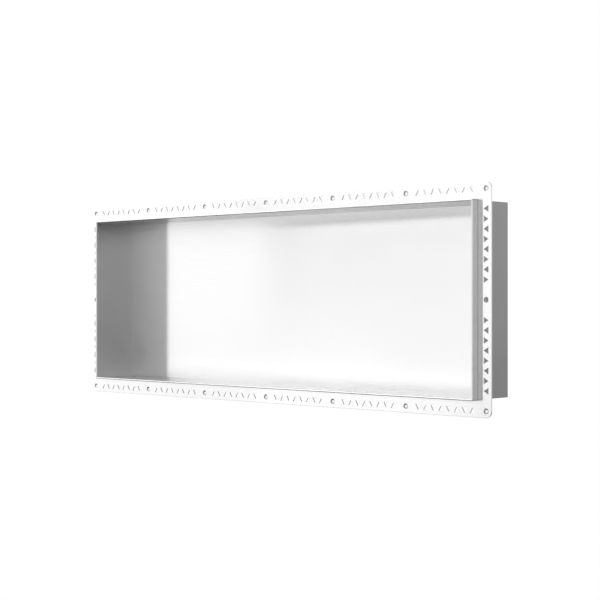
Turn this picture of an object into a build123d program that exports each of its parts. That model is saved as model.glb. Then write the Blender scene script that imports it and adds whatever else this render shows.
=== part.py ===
from build123d import *
import os
from math import floor, sqrt

# Shower niche insert: an open steel tray, folded from one sheet and hemmed round its rim, that
# stands in the wall behind a perforated flange. The flange is cut from a second sheet, pushed
# over the tray from behind as far as the hem and welded there.
# Millimetres. X runs along the niche, Y points into the wall and Z is up.
# The origin is the centre of the flange's back face, which lies against the wall.

# Tray
tray_width = 900.0  # over the hem round the rim
tray_height = 300.0
tray_depth = 90.0
tray_sheet = 1.5
fold_outside = 0.8  # rounding outside, of the folds and of the dressed corner seams
fold_inside = 0.2  # the same inside, kept sharp by the groove that each fold follows

# Flange
flange_border = 25.0  # from the hem's outside to the flange's edge
flange_sheet = 1.5
flange_corner = 10.0
flange_break = 0.4  # rounding of the front edge
collar = 13.0  # depth of the hem, by which the rim stands in front of the flange

# Countersunk screw holes in one row round the flange
screw_inset = 10.0  # from the flange's edge to the row
screw_radius = 2.25
sink_radius = 4.5
sink_angle = 120.0
half_width_spaces = 3  # equal spaces from a corner screw to the middle of a long side
half_height_spaces = 1  # equal spaces from a corner screw to the middle of a short side

# Three-sided perforations on the same row, which key the flange into the tile adhesive
key_side = 10.0
key_pitch = 15.0
key_clearance = 18.0  # from a screw's axis to the nearest perforation, at least

# Sizes that follow from the ones above
rim_reach = flange_sheet + collar
body_width = tray_width - 2 * tray_sheet
body_height = tray_height - 2 * tray_sheet
inside_width = body_width - 2 * tray_sheet
inside_height = body_height - 2 * tray_sheet
inside_depth = tray_depth - tray_sheet
hem_corner = fold_outside + tray_sheet
hem_nose = 0.95 * tray_sheet
flange_width = tray_width + 2 * flange_border
flange_height = tray_height + 2 * flange_border
screw_width = flange_width - 2 * screw_inset
screw_height = flange_height - 2 * screw_inset
screw_pitch_x = screw_width / (2 * half_width_spaces)
screw_pitch_z = screw_height / (2 * half_height_spaces)
key_height = key_side * sqrt(3) / 2
key_outline = [(-key_side / 2, -key_height / 2), (key_side / 2, -key_height / 2), (0, key_height / 2)]


def key_offsets(space):
    """Places of the perforations between two screws, from the middle of the space."""
    pairs = floor((space / 2 - key_clearance - key_side / 2) / key_pitch + 0.5)
    return [(step - pairs + 0.5) * key_pitch for step in range(2 * pairs)]


# Room inside the tray
with BuildPart() as room:
    with BuildSketch(Plane.XZ.offset(rim_reach)):
        Rectangle(inside_width, inside_height)
    extrude(amount=-inside_depth)
    back_folds = room.faces().sort_by(Axis.Y)[-1].edges()
    corner_seams = room.edges().filter_by(Axis.Y)
    fillet(back_folds + corner_seams, radius=fold_inside)

# Tray: back panel and four walls of one sheet's thickness. The closed hem doubles the walls in
# front of the flange and gives the rim a round nose.
with BuildPart() as niche_box:
    with BuildSketch(Plane.XZ.offset(rim_reach)):
        Rectangle(body_width, body_height)
    extrude(amount=-tray_depth)
    back_folds = niche_box.faces().sort_by(Axis.Y)[-1].edges()
    corner_seams = niche_box.edges().filter_by(Axis.Y)
    fillet(back_folds + corner_seams, radius=fold_outside)
    with BuildSketch(Plane.XZ.offset(rim_reach)):
        RectangleRounded(tray_width, tray_height, hem_corner)
    extrude(amount=-collar)
    add(room.part, mode=Mode.SUBTRACT)
    fillet(niche_box.faces().sort_by(Axis.Y)[0].edges(), radius=hem_nose)

# Flange: a rounded ring that fits the tray's outside behind the hem
with BuildPart(Plane.XZ.offset(flange_sheet)) as wall_flange:
    with BuildSketch(Plane.XZ):
        RectangleRounded(flange_width, flange_height, flange_corner)
        RectangleRounded(body_width, body_height, fold_outside, mode=Mode.SUBTRACT)
    extrude(amount=flange_sheet)
    fillet(wall_flange.faces().sort_by(Axis.Y)[0].outer_wire().edges(), radius=flange_break)

    # The perforations of one quarter, mirrored to the others. In each space the first one,
    # counted from the corner, points at the niche, and the next ones take turns.
    with BuildSketch(Plane.XZ):
        for space in range(half_width_spaces):
            middle = (space + 0.5) * screw_pitch_x - screw_width / 2
            for count, place in enumerate(key_offsets(screw_pitch_x)):
                with Locations((middle + place, screw_height / 2)):
                    Polygon(*key_outline, rotation=0 if count % 2 else 180, align=None)
        for space in range(half_height_spaces):
            middle = screw_height / 2 - (space + 0.5) * screw_pitch_z
            for count, place in enumerate(key_offsets(screw_pitch_z)):
                with Locations((-screw_width / 2, middle - place)):
                    Polygon(*key_outline, rotation=90 if count % 2 else -90, align=None)
        mirror(about=Plane.YZ)
        mirror(about=Plane.XZ)
    extrude(amount=flange_sheet, mode=Mode.SUBTRACT)

    # Screws along the two long sides, then those between the corners of the short sides
    with GridLocations(screw_pitch_x, screw_height, 2 * half_width_spaces + 1, 2):
        CounterSinkHole(screw_radius, sink_radius, counter_sink_angle=sink_angle)
    with GridLocations(screw_width, screw_pitch_z, 2, 2 * half_height_spaces - 1):
        CounterSinkHole(screw_radius, sink_radius, counter_sink_angle=sink_angle)

niche_box.part.label = "niche_box"
wall_flange.part.label = "wall_flange"

os.makedirs("parts", exist_ok=True)
export_step(niche_box.part, "parts/niche_box.step")
export_step(wall_flange.part, "parts/wall_flange.step")
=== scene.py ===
"""Looks of a shower niche insert: a hemmed steel tray in a perforated flange, in a studio tent."""

import logging
import math
from dataclasses import dataclass
from enum import Enum
from typing import Any, Callable

import bpy
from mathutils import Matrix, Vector

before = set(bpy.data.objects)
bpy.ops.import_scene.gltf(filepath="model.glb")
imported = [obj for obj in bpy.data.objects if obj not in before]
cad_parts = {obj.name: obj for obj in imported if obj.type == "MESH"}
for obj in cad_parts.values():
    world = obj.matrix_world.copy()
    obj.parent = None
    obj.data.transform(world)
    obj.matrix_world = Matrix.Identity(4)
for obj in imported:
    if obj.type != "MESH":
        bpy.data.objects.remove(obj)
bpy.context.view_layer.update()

MM = 0.001
PHOTO_PIXELS = 600
WHITE = "#FFFFFF"
HALF_TURN = 180
# The Mix node's sockets share their names, so they go by number
FLOAT_A, FLOAT_B = 2, 3
COLOUR_A, COLOUR_B, COLOUR_OUT = 6, 7, 2

log = logging.getLogger("niche_insert")


def linear(hex_colour: str) -> tuple[float, float, float, float]:
    """Turns an sRGB colour into linear light.

    Args:
        hex_colour: The colour as "#RRGGBB".

    Returns:
        Red, green and blue in linear light, and an alpha of 1.
    """
    channels = [int(hex_colour[start:start + 2], 16) / 255 for start in (1, 3, 5)]
    light = [c / 12.92 if c <= 0.04045 else ((c + 0.055) / 1.055) ** 2.4 for c in channels]
    return (light[0], light[1], light[2], 1.0)


def ease(value: float, edge: float, blend: float) -> float:
    """Rises softly from 0 to 1 as a value passes an edge.

    Args:
        value: The value.
        edge: Where the rise is half-way.
        blend: How long the rise is.

    Returns:
        A share from 0 to 1.
    """
    share = min(max((value - edge) / blend + 0.5, 0.0), 1.0)
    return share * share * (3 - 2 * share)


def add_node(
    tree: bpy.types.NodeTree,
    kind: str,
    settings: dict[str, Any] | None = None,
    values: dict[int | str, Any] | None = None,
    links: dict[int | str, bpy.types.NodeSocket] | None = None,
) -> bpy.types.Node:
    """Adds a node with its settings and links.

    Args:
        tree: The node tree that takes the node.
        kind: The node's type name.
        settings: The node's own properties.
        values: Input sockets, by name or number, and the values set on them.
        links: Input sockets, by name or number, and the outputs that feed them.

    Returns:
        The new node.
    """
    node = tree.nodes.new(kind)
    for name, setting in (settings or {}).items():
        setattr(node, name, setting)
    for socket, value in (values or {}).items():
        node.inputs[socket].default_value = value
    for socket, output in (links or {}).items():
        tree.links.new(output, node.inputs[socket])
    return node


Mask = Callable[[bpy.types.NodeTree], bpy.types.NodeSocket]


class Brushing(Enum):
    """Which way the belt ran over a sheet, as a direction in the part's frame."""

    # Along the width. The slight turn leads it into the depth on the two end walls.
    LEVEL = (1.0, 0.02, 0.0)


class Sight(Enum):
    """Who sees a piece of the studio."""

    CAMERA = "camera"
    REFLECTIONS = "reflections"


@dataclass(frozen=True)
class MillStainless:
    """The sheet's other side, as it left the rolls.

    The eye gets a dull grey with a broad soft sheen, faint clouds and next to no grain.
    """

    colour: str = "#ADADAD"
    cloud_colour: str = "#8C8C8C"
    roughness: float = 0.5


@dataclass(frozen=True)
class ShadedCutSteel:
    """The wall of a hole cut by laser, or a turned countersink.

    The eye gets steel that blurs its surroundings alike in all directions, greyer than beside it,
    partly as painted shade in these recesses, and a hair-fine outline where the edge was taken
    off.
    """

    # Greyer than the brushed face: partly painted shade in the holes and countersinks
    colour: str = "#B4B4B4"
    roughness: float = 0.25
    rounding_mm: float = 0.25
    rounding_samples: int = 6


@dataclass(frozen=True)
class BrushedStainless:
    """Stainless steel sheet, brushed level with a fine belt on the side that shows.

    The eye gets a silver mirror that is blurred up and down, across the brushing, and nearly
    sharp along it, with hair-fine level streaks and a faint mottle.
    """

    name: str
    colour: str = "#DFDFDF"
    streak_colour: str = "#D0D0D0"
    roughness: float = 0.19
    roughness_spread: float = 0.03
    anisotropy: float = 1.0
    brushing: Brushing = Brushing.LEVEL
    reverse: MillStainless = MillStainless()
    edge: ShadedCutSteel = ShadedCutSteel()
    # Belt scratches are about 0.1 mm wide, too fine to show, so they are drawn coarser
    streak_width_mm: float = 1.6
    streak_length_mm: float = 70.0
    streak_layers: float = 4.0  # layers of ever finer noise
    streak_depth_mm: float = 0.002
    bump_strength: float = 0.15
    mottle_mm: float = 2.0
    mottle_layers: float = 2.0
    mottle_share: float = 0.3  # in the grain, beside the streaks
    finer_share: float = 0.6  # of a layer's strength that the next finer one has
    cloud_mm: float = 120.0
    cloud_layers: float = 2.0
    cloud_share: float = 0.5  # in the unevenness, beside the grain

    def build(self, reverse_at: Mask, edges_at: Mask | None) -> bpy.types.Material:
        """Makes the material.

        Args:
            reverse_at: Adds the nodes that find the sheet's other side.
            edges_at: Adds the nodes that find the walls of its holes, if it has any.

        Returns:
            The material of the whole sheet, ready for a slot.
        """
        material = bpy.data.materials.new(self.name)
        material.use_nodes = True
        tree = material.node_tree
        tree.nodes.clear()

        across, streak_place = self.run_belt(tree)
        grain, uneven = self.mark(tree, streak_place)
        colour = add_node(
            tree,
            "ShaderNodeMix",
            {"data_type": "RGBA"},
            {COLOUR_A: linear(self.streak_colour), COLOUR_B: linear(self.colour)},
            {"Factor": grain},
        )
        roughness = add_node(
            tree,
            "ShaderNodeMapRange",
            values={
                "To Min": self.roughness - self.roughness_spread,
                "To Max": self.roughness + self.roughness_spread,
            },
            links={"Value": uneven},
        )
        bump = add_node(
            tree,
            "ShaderNodeBump",
            values={"Strength": self.bump_strength, "Distance": self.streak_depth_mm * MM},
            links={"Height": grain},
        )

        # The other side and the walls of the holes show no brushing
        plain = reverse_at(tree)
        rolled = add_node(
            tree,
            "ShaderNodeMix",
            {"data_type": "RGBA"},
            {
                COLOUR_A: linear(self.reverse.cloud_colour),
                COLOUR_B: linear(self.reverse.colour),
            },
            {"Factor": uneven},
        )
        tint = add_node(
            tree,
            "ShaderNodeMix",
            {"data_type": "RGBA"},
            links={
                "Factor": plain,
                COLOUR_A: colour.outputs[COLOUR_OUT],
                COLOUR_B: rolled.outputs[COLOUR_OUT],
            },
        )
        blur = add_node(
            tree,
            "ShaderNodeMix",
            {"data_type": "FLOAT"},
            {FLOAT_B: self.reverse.roughness},
            {"Factor": plain, FLOAT_A: roughness.outputs[0]},
        )
        if edges_at:
            edges = edges_at(tree)
            # The walls of the holes and the countersinks take the greyer cut-steel colour, partly
            # painted shade in these recesses
            tint = add_node(
                tree,
                "ShaderNodeMix",
                {"data_type": "RGBA"},
                {COLOUR_B: linear(self.edge.colour)},
                {"Factor": edges, COLOUR_A: tint.outputs[COLOUR_OUT]},
            )
            taken_off = add_node(
                tree,
                "ShaderNodeBevel",
                {"samples": self.edge.rounding_samples},
                {"Radius": self.edge.rounding_mm * MM},
            )
            tree.links.new(taken_off.outputs[0], bump.inputs["Normal"])
            blur = add_node(
                tree,
                "ShaderNodeMix",
                {"data_type": "FLOAT"},
                {FLOAT_B: self.edge.roughness},
                {"Factor": edges, FLOAT_A: blur.outputs[0]},
            )
            plain = add_node(
                tree, "ShaderNodeMath", {"operation": "MAXIMUM"}, links={0: plain, 1: edges}
            ).outputs[0]
        brushed = add_node(
            tree,
            "ShaderNodeMapRange",
            values={"To Min": self.anisotropy, "To Max": 0.0},
            links={"Value": plain},
        )
        steel = add_node(
            tree,
            "ShaderNodeBsdfPrincipled",
            values={"Metallic": 1.0},
            links={
                "Base Color": tint.outputs[COLOUR_OUT],
                "Roughness": blur.outputs[0],
                "Anisotropic": brushed.outputs[0],
                "Normal": bump.outputs[0],
                "Tangent": across,
            },
        )
        add_node(tree, "ShaderNodeOutputMaterial", links={"Surface": steel.outputs[0]})
        return material

    def run_belt(
        self, tree: bpy.types.NodeTree
    ) -> tuple[bpy.types.NodeSocket, bpy.types.NodeSocket]:
        """Finds the brushing on any face.

        Args:
            tree: The node tree that takes the nodes.

        Returns:
            The direction across the brushing, and the place along and across it in streaks.
        """
        surface = add_node(tree, "ShaderNodeNewGeometry")
        place = add_node(tree, "ShaderNodeTexCoord").outputs["Object"]
        across = add_node(
            tree,
            "ShaderNodeVectorMath",
            {"operation": "CROSS_PRODUCT"},
            {1: self.brushing.value},
            {0: surface.outputs["Normal"]},
        )
        across_unit = add_node(
            tree, "ShaderNodeVectorMath", {"operation": "NORMALIZE"}, links={0: across.outputs[0]}
        )
        along_unit = add_node(
            tree,
            "ShaderNodeVectorMath",
            {"operation": "CROSS_PRODUCT"},
            links={0: across_unit.outputs[0], 1: surface.outputs["Normal"]},
        )
        across_at = add_node(
            tree,
            "ShaderNodeVectorMath",
            {"operation": "DOT_PRODUCT"},
            links={0: place, 1: across_unit.outputs[0]},
        )
        along_at = add_node(
            tree,
            "ShaderNodeVectorMath",
            {"operation": "DOT_PRODUCT"},
            links={0: place, 1: along_unit.outputs[0]},
        )
        streak_across = add_node(
            tree,
            "ShaderNodeMath",
            {"operation": "DIVIDE"},
            {1: self.streak_width_mm * MM},
            {0: across_at.outputs["Value"]},
        )
        streak_along = add_node(
            tree,
            "ShaderNodeMath",
            {"operation": "DIVIDE"},
            {1: self.streak_length_mm * MM},
            {0: along_at.outputs["Value"]},
        )
        streak_place = add_node(
            tree,
            "ShaderNodeCombineXYZ",
            links={0: streak_along.outputs[0], 1: streak_across.outputs[0]},
        )
        return across_unit.outputs[0], streak_place.outputs[0]

    def mark(
        self, tree: bpy.types.NodeTree, streak_place: bpy.types.NodeSocket
    ) -> tuple[bpy.types.NodeSocket, bpy.types.NodeSocket]:
        """Adds the belt's streaks, a fine mottle over them and broad clouds of uneven pressure.

        Args:
            tree: The node tree that takes the nodes.
            streak_place: The place along and across the brushing.

        Returns:
            The grain, which is streaks and mottle, and the unevenness, which is grain and clouds.
        """
        place = add_node(tree, "ShaderNodeTexCoord").outputs["Object"]
        streaks = add_node(
            tree,
            "ShaderNodeTexNoise",
            values={
                "Scale": 1.0,
                "Detail": self.streak_layers,
                "Roughness": self.finer_share,
            },
            links={"Vector": streak_place},
        )
        mottle = add_node(
            tree,
            "ShaderNodeTexNoise",
            values={
                "Scale": 1 / (self.mottle_mm * MM),
                "Detail": self.mottle_layers,
                "Roughness": self.finer_share,
            },
            links={"Vector": place},
        )
        clouds = add_node(
            tree,
            "ShaderNodeTexNoise",
            values={"Scale": 1 / (self.cloud_mm * MM), "Detail": self.cloud_layers},
            links={"Vector": place},
        )
        grain = add_node(
            tree,
            "ShaderNodeMix",
            {"data_type": "FLOAT"},
            {"Factor": self.mottle_share},
            {FLOAT_A: streaks.outputs[0], FLOAT_B: mottle.outputs[0]},
        )
        uneven = add_node(
            tree,
            "ShaderNodeMix",
            {"data_type": "FLOAT"},
            {"Factor": self.cloud_share},
            {FLOAT_A: grain.outputs[0], FLOAT_B: clouds.outputs[0]},
        )
        return grain.outputs[0], uneven.outputs[0]


@dataclass
class NicheTray:
    """The open tray, folded from one sheet, with the hem round its rim.

    The sheet's brushed side lies inside and comes round the rim with the hem. From the hem's raw
    end on, and behind the flange, the tray shows the other side.
    """

    finish: BrushedStainless
    half_inside_mm: tuple[float, float, float] = (447.0, 74.0, 147.0)
    sheet_mm: float = 1.5
    hem_end_mm: float = 0.6  # the hem's raw end, just in front of the flange
    node: str = "niche_box"
    slot: str = "brushed_tray"

    def dress(self) -> bpy.types.Object:
        """Gives the tray its finish and returns its object."""
        return dress_sheet(self.node, self.finish.build(self.outside, None))

    def outside(self, tree: bpy.types.NodeTree) -> bpy.types.NodeSocket:
        """Finds the tray's outside from the hem's end to the back.

        Args:
            tree: The node tree that takes the nodes.

        Returns:
            A socket that is 1 there and 0 elsewhere.
        """
        place = add_node(tree, "ShaderNodeTexCoord").outputs["Object"]
        reach = add_node(tree, "ShaderNodeVectorMath", {"operation": "ABSOLUTE"}, links={0: place})
        middle = tuple((half + self.sheet_mm / 2) * MM for half in self.half_inside_mm)
        beyond = add_node(
            tree,
            "ShaderNodeVectorMath",
            {"operation": "SUBTRACT"},
            {1: middle},
            {0: reach.outputs[0]},
        )
        sides = add_node(tree, "ShaderNodeSeparateXYZ", links={0: beyond.outputs[0]})
        most = sides.outputs["X"]
        for side in ("Y", "Z"):
            most = add_node(
                tree,
                "ShaderNodeMath",
                {"operation": "MAXIMUM"},
                links={0: most, 1: sides.outputs[side]},
            ).outputs[0]
        out = add_node(tree, "ShaderNodeMath", {"operation": "GREATER_THAN"}, {1: 0.0}, {0: most})
        depth = add_node(tree, "ShaderNodeSeparateXYZ", links={0: place})
        behind = add_node(
            tree,
            "ShaderNodeMath",
            {"operation": "GREATER_THAN"},
            {1: -(self.sheet_mm + self.hem_end_mm) * MM},
            {0: depth.outputs["Y"]},
        )
        return add_node(
            tree,
            "ShaderNodeMath",
            {"operation": "MULTIPLY"},
            links={0: out.outputs[0], 1: behind.outputs[0]},
        ).outputs[0]


@dataclass
class WallFlange:
    """The perforated ring round the tray, which is screwed to the wall."""

    finish: BrushedStainless
    half_mm: tuple[float, float] = (475.0, 175.0)
    rim_mm: float = 3.0  # no hole comes this near to the outer edge
    flatness: float = 0.93  # a face that looks less than this along Y is steep
    node: str = "wall_flange"
    slot: str = "brushed_flange"

    def dress(self) -> bpy.types.Object:
        """Gives the flange its finish and returns its object."""
        return dress_sheet(self.node, self.finish.build(self.back, self.holes))

    def back(self, tree: bpy.types.NodeTree) -> bpy.types.NodeSocket:
        """Finds the face against the wall.

        Args:
            tree: The node tree that takes the nodes.

        Returns:
            A socket that is 1 there and 0 elsewhere.
        """
        return add_node(
            tree,
            "ShaderNodeMath",
            {"operation": "GREATER_THAN"},
            {1: self.flatness},
            {0: self.facing(tree)},
        ).outputs[0]

    def holes(self, tree: bpy.types.NodeTree) -> bpy.types.NodeSocket:
        """Finds the walls of the holes.

        Args:
            tree: The node tree that takes the nodes.

        Returns:
            A socket that is 1 there and 0 elsewhere.
        """
        size = add_node(
            tree, "ShaderNodeMath", {"operation": "ABSOLUTE"}, links={0: self.facing(tree)}
        )
        steep = add_node(
            tree,
            "ShaderNodeMath",
            {"operation": "LESS_THAN"},
            {1: self.flatness},
            {0: size.outputs[0]},
        )
        place = add_node(tree, "ShaderNodeTexCoord").outputs["Object"]
        reach = add_node(tree, "ShaderNodeVectorMath", {"operation": "ABSOLUTE"}, links={0: place})
        sides = add_node(tree, "ShaderNodeSeparateXYZ", links={0: reach.outputs[0]})
        found = steep.outputs[0]
        for side, half in zip(("X", "Z"), self.half_mm):
            within = add_node(
                tree,
                "ShaderNodeMath",
                {"operation": "LESS_THAN"},
                {1: (half - self.rim_mm) * MM},
                {0: sides.outputs[side]},
            )
            found = add_node(
                tree,
                "ShaderNodeMath",
                {"operation": "MULTIPLY"},
                links={0: found, 1: within.outputs[0]},
            ).outputs[0]
        return found

    def facing(self, tree: bpy.types.NodeTree) -> bpy.types.NodeSocket:
        """Adds the nodes that tell how far a face looks along Y, and returns their socket."""
        normal = add_node(tree, "ShaderNodeNewGeometry").outputs["True Normal"]
        return add_node(tree, "ShaderNodeSeparateXYZ", links={0: normal}).outputs["Y"]


def dress_sheet(node: str, material: bpy.types.Material) -> bpy.types.Object:
    """Puts a material on a sheet of the frame.

    Args:
        node: The sheet's name in the frame.
        material: The material.

    Returns:
        The dressed object.
    """
    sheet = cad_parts[node]
    sheet.data.materials.clear()
    sheet.data.materials.append(material)
    return sheet


@dataclass(frozen=True)
class Panel:
    """A patch of the studio tent that the steel mirrors.

    Directions are degrees, 0 in front of the insert and 90 on its right. Heights are degrees
    above the level of its middle.
    """

    left: float
    right: float
    low: float
    high: float
    shade: float  # white paper is 1
    blend: float = 1.0  # degrees in which an edge goes over into the patch beside it
    rise: float = 2.0  # the same for its lower and upper edge

    def cover(self, turn: float, height: float) -> float:
        """Tells how much of the panel lies in a direction.

        Args:
            turn: The direction round the insert.
            height: The direction's height.

        Returns:
            A share from 0 to 1.
        """
        sides = ease(turn, self.left, self.blend) * (1 - ease(turn, self.right, self.blend))
        ends = ease(height, self.low, self.rise) * (1 - ease(height, self.high, self.rise))
        return sides * ends


# The tent's patches. Later ones lie over earlier ones.
PANELS = (
    Panel(-88.0, 44.5, -78.0, 78.0, 0.82),  # grey paper in front
    Panel(5.0, 32.0, -78.0, 78.0, 0.58, 4.0),  # its shaded middle
    Panel(-88.0, -27.0, -15.0, 78.0, 1.53, 6.0),  # white wall on the left
    Panel(-88.0, -27.0, 25.0, 78.0, 2.3, 6.0, 6.0),  # its lit top
    Panel(-46.9, -32.0, -15.0, 0.0, 1.87, 3.0, 1.0),  # its lit foot
    Panel(-46.9, -32.0, 0.0, 10.0, 0.55, 3.0, 1.0),  # grey beam on it
    Panel(-46.9, -32.0, 10.0, 15.0, 4.5, 3.0, 1.0),  # strip lamp on the beam
    Panel(-46.9, -32.0, 15.0, 25.0, 0.3, 3.0, 1.0),  # shade over the lamp
    Panel(-88.0, -27.0, -78.0, -15.0, 0.1),  # dark cloth low on the left
    Panel(44.5, 102.0, -78.0, 2.0, 0.08),  # dark cloth low on the right
    Panel(44.5, 45.5, -8.0, 78.0, 2.7),  # lit edge of the paper beside the camera
    Panel(45.5, 48.0, 2.0, 78.0, 0.1),  # dark gap beside it
    Panel(48.0, 60.0, 2.0, 17.0, 1.5),  # white board behind the camera
    Panel(48.0, 60.0, 17.0, 78.0, 0.15),  # dark wall above it
    Panel(60.0, 102.0, 12.0, 78.0, 0.3),  # grey wall on the right
    Panel(62.0, 94.0, -25.0, 25.0, 1.3, 4.0, 4.0),  # white door in it
    Panel(102.0, 176.0, -78.0, -8.0, 0.1),  # dark cloth low at the back
    Panel(102.0, 176.0, -8.0, 14.0, 1.1),  # white paper at the back right
    Panel(102.0, 176.0, 14.0, 78.0, 0.6),  # grey wall above it
)


@dataclass
class Studio:
    """A tent of white, grey and dark patches, a pale floor far below and one soft lamp."""

    floor_below: float = 1.2
    floor_radius: float = 3.0
    floor_corners: int = 128
    floor_clear: float = 1.2  # the floor keeps its own shade this far from the middle
    floor_colour: str = "#D9D9D9"
    ambient: float = 0.45  # the world's strength as light
    lamp_place: tuple[float, float, float] = (-2.4, -2.5, 2.2)
    lamp_size: tuple[float, float] = (1.6, 1.6)
    lamp_radiance: float = 3.0
    tent_radius: float = 3.4
    tent_end: int = 78  # degrees up and down, where the tent is open
    tent_shade: float = 0.9  # where no patch hangs
    panels: tuple[Panel, ...] = PANELS

    def build(self) -> None:
        """Makes the world, the floor, the tent and the lamp."""
        self.surround()
        self.lay_floor()
        self.pitch_tent()
        self.hang_lamp()

    def surround(self) -> None:
        """Makes the world: white to the eye, softer as light on the floor."""
        world = bpy.data.worlds.new("white_studio")
        world.use_nodes = True
        tree = world.node_tree
        tree.nodes.clear()
        path = add_node(tree, "ShaderNodeLightPath")
        seen = path.outputs["Is Camera Ray"]
        for ray in ("Is Glossy Ray", "Is Transmission Ray"):
            seen = add_node(
                tree,
                "ShaderNodeMath",
                {"operation": "MAXIMUM"},
                links={0: seen, 1: path.outputs[ray]},
            ).outputs[0]
        strength = add_node(
            tree,
            "ShaderNodeMapRange",
            values={"To Min": self.ambient, "To Max": 1.0},
            links={"Value": seen},
        )
        white = add_node(
            tree,
            "ShaderNodeBackground",
            values={"Color": linear(WHITE)},
            links={"Strength": strength.outputs[0]},
        )
        add_node(tree, "ShaderNodeOutputWorld", links={"Surface": white.outputs[0]})
        bpy.context.scene.world = world

    def lay_floor(self) -> None:
        """Makes a pale round floor that goes over into the white surroundings."""
        material = bpy.data.materials.new("pale_floor")
        material.use_nodes = True
        tree = material.node_tree
        tree.nodes.clear()
        place = add_node(tree, "ShaderNodeTexCoord").outputs["Object"]
        out = add_node(tree, "ShaderNodeVectorMath", {"operation": "LENGTH"}, links={0: place})
        fade = add_node(
            tree,
            "ShaderNodeMapRange",
            {"interpolation_type": "SMOOTHSTEP"},
            {"From Min": self.floor_clear, "From Max": self.floor_radius},
            {"Value": out.outputs["Value"]},
        )
        paint = add_node(
            tree, "ShaderNodeBsdfDiffuse", values={"Color": linear(self.floor_colour)}
        )
        white = add_node(
            tree, "ShaderNodeEmission", values={"Color": linear(WHITE), "Strength": 1.0}
        )
        mixed = add_node(
            tree,
            "ShaderNodeMixShader",
            links={0: fade.outputs[0], 1: paint.outputs[0], 2: white.outputs[0]},
        )
        add_node(tree, "ShaderNodeOutputMaterial", links={"Surface": mixed.outputs[0]})
        corners = range(self.floor_corners)
        turns = [2 * math.pi * corner / self.floor_corners for corner in corners]
        ring = [
            (self.floor_radius * math.cos(turn), self.floor_radius * math.sin(turn), 0.0)
            for turn in turns
        ]
        floor = self.add_piece("floor", ring, [tuple(corners)], material, Sight.CAMERA)
        floor.location.z = -self.floor_below

    def shade_at(self, turn: float, height: float) -> float:
        """Finds how bright the tent is in a direction.

        Args:
            turn: Degrees round the insert.
            height: Degrees above its middle.

        Returns:
            The brightness, where white paper is 1.
        """
        shade = self.tent_shade
        for panel in self.panels:
            shade += (panel.shade - shade) * panel.cover(turn, height)
        return shade

    def pitch_tent(self) -> None:
        """Makes the tent that the steel mirrors and the camera doesn't see, one face a degree."""
        material = bpy.data.materials.new("tent_paper")
        material.use_nodes = True
        material.cycles.emission_sampling = "NONE"
        tree = material.node_tree
        tree.nodes.clear()
        shade = add_node(tree, "ShaderNodeAttribute", {"attribute_name": "shade"})
        paper = add_node(
            tree,
            "ShaderNodeEmission",
            values={"Color": linear(WHITE)},
            links={"Strength": shade.outputs["Fac"]},
        )
        add_node(tree, "ShaderNodeOutputMaterial", links={"Surface": paper.outputs[0]})
        turns = range(-HALF_TURN, HALF_TURN + 1)
        heights = range(-self.tent_end, self.tent_end + 1)
        points = []
        shades = []
        for turn in turns:
            for height in heights:
                level = self.tent_radius * math.cos(math.radians(height))
                x, y = level * math.sin(math.radians(turn)), -level * math.cos(math.radians(turn))
                points.append((x, y, self.tent_radius * math.sin(math.radians(height))))
                shades.append(self.shade_at(turn, height))
        rows = len(heights)
        faces = [
            (k * rows + j, (k + 1) * rows + j, (k + 1) * rows + j + 1, k * rows + j + 1)
            for k in range(len(turns) - 1)
            for j in range(rows - 1)
        ]
        tent = self.add_piece("studio_tent", points, faces, material, Sight.REFLECTIONS)
        tent.data.attributes.new("shade", "FLOAT", "POINT").data.foreach_set("value", shades)

    def add_piece(
        self,
        name: str,
        points: list[tuple[float, float, float]],
        faces: list[tuple[int, ...]],
        material: bpy.types.Material,
        sight: Sight,
    ) -> bpy.types.Object:
        """Adds a piece of the studio.

        Args:
            name: The piece's name.
            points: Its corners.
            faces: Its faces, as numbers of corners.
            material: Its material.
            sight: Who sees it.

        Returns:
            The new object.
        """
        mesh = bpy.data.meshes.new(name)
        mesh.from_pydata(points, [], faces)
        mesh.materials.append(material)
        piece = bpy.data.objects.new(name, mesh)
        bpy.context.scene.collection.objects.link(piece)
        if sight is Sight.CAMERA:
            piece.visible_glossy = False
        else:
            piece.visible_camera = False
            piece.visible_diffuse = False
            piece.visible_shadow = False
            piece.visible_transmission = False
        log.info("stage %s", name)
        return piece

    def hang_lamp(self) -> None:
        """Hangs the soft lamp at the front left, which gives the floor its shadow."""
        lamp = bpy.data.lights.new("soft_lamp", "AREA")
        lamp.shape = "RECTANGLE"
        lamp.size, lamp.size_y = self.lamp_size
        lamp.energy = self.lamp_radiance * math.pi * lamp.size * lamp.size_y
        holder = bpy.data.objects.new("soft_lamp", lamp)
        holder.location = self.lamp_place
        holder.rotation_euler = (-Vector(self.lamp_place)).to_track_quat("-Z", "Y").to_euler()
        holder.visible_camera = False
        holder.visible_glossy = False
        bpy.context.scene.collection.objects.link(holder)


@dataclass
class PhotoCamera:
    """The camera where the photograph was taken from, level with the niche's middle."""

    place: tuple[float, float, float] = (1.7782, -1.7451, -0.0002)
    turn: float = 44.223  # degrees to the left of straight ahead
    focal_pixels: float = 1465.0
    sensor_mm: float = 36.0

    def build(self) -> None:
        """Makes the camera and hands it to the scene."""
        data = bpy.data.cameras.new("photo_camera")
        data.sensor_width = self.sensor_mm
        data.lens = self.focal_pixels / PHOTO_PIXELS * self.sensor_mm
        camera = bpy.data.objects.new("photo_camera", data)
        camera.location = self.place
        camera.rotation_euler = (math.pi / 2, 0.0, math.radians(self.turn))
        bpy.context.scene.collection.objects.link(camera)
        bpy.context.scene.camera = camera


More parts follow.
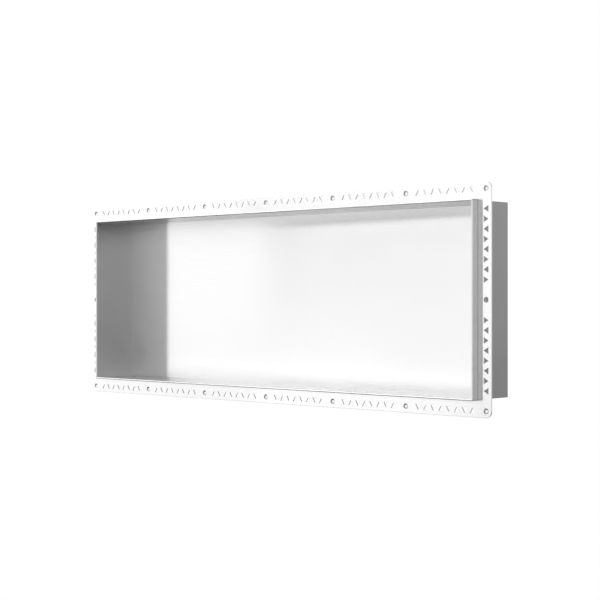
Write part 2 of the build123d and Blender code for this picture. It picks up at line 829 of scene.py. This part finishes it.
def main() -> None:
    """Dresses the insert and builds the studio round it."""
    logging.basicConfig(level=logging.INFO)
    bpy.context.scene.view_settings.view_transform = "Standard"
    for sheet in (
        NicheTray(BrushedStainless("brushed_stainless_tray")),
        WallFlange(
            BrushedStainless(
                "brushed_stainless_flange",
                # The flange's steel and streaks are a shade darker than the tray's: painted shade
                # that keeps its brightly lit face from clipping to white
                colour="#DADADA",
                streak_colour="#D5D5D5",
                roughness=0.17,
                roughness_spread=0.015,
            )
        ),
    ):
        log.info("dressed %s", sheet.dress().name)
    Studio().build()
    PhotoCamera().build()


if __name__ == "__main__":
    main()
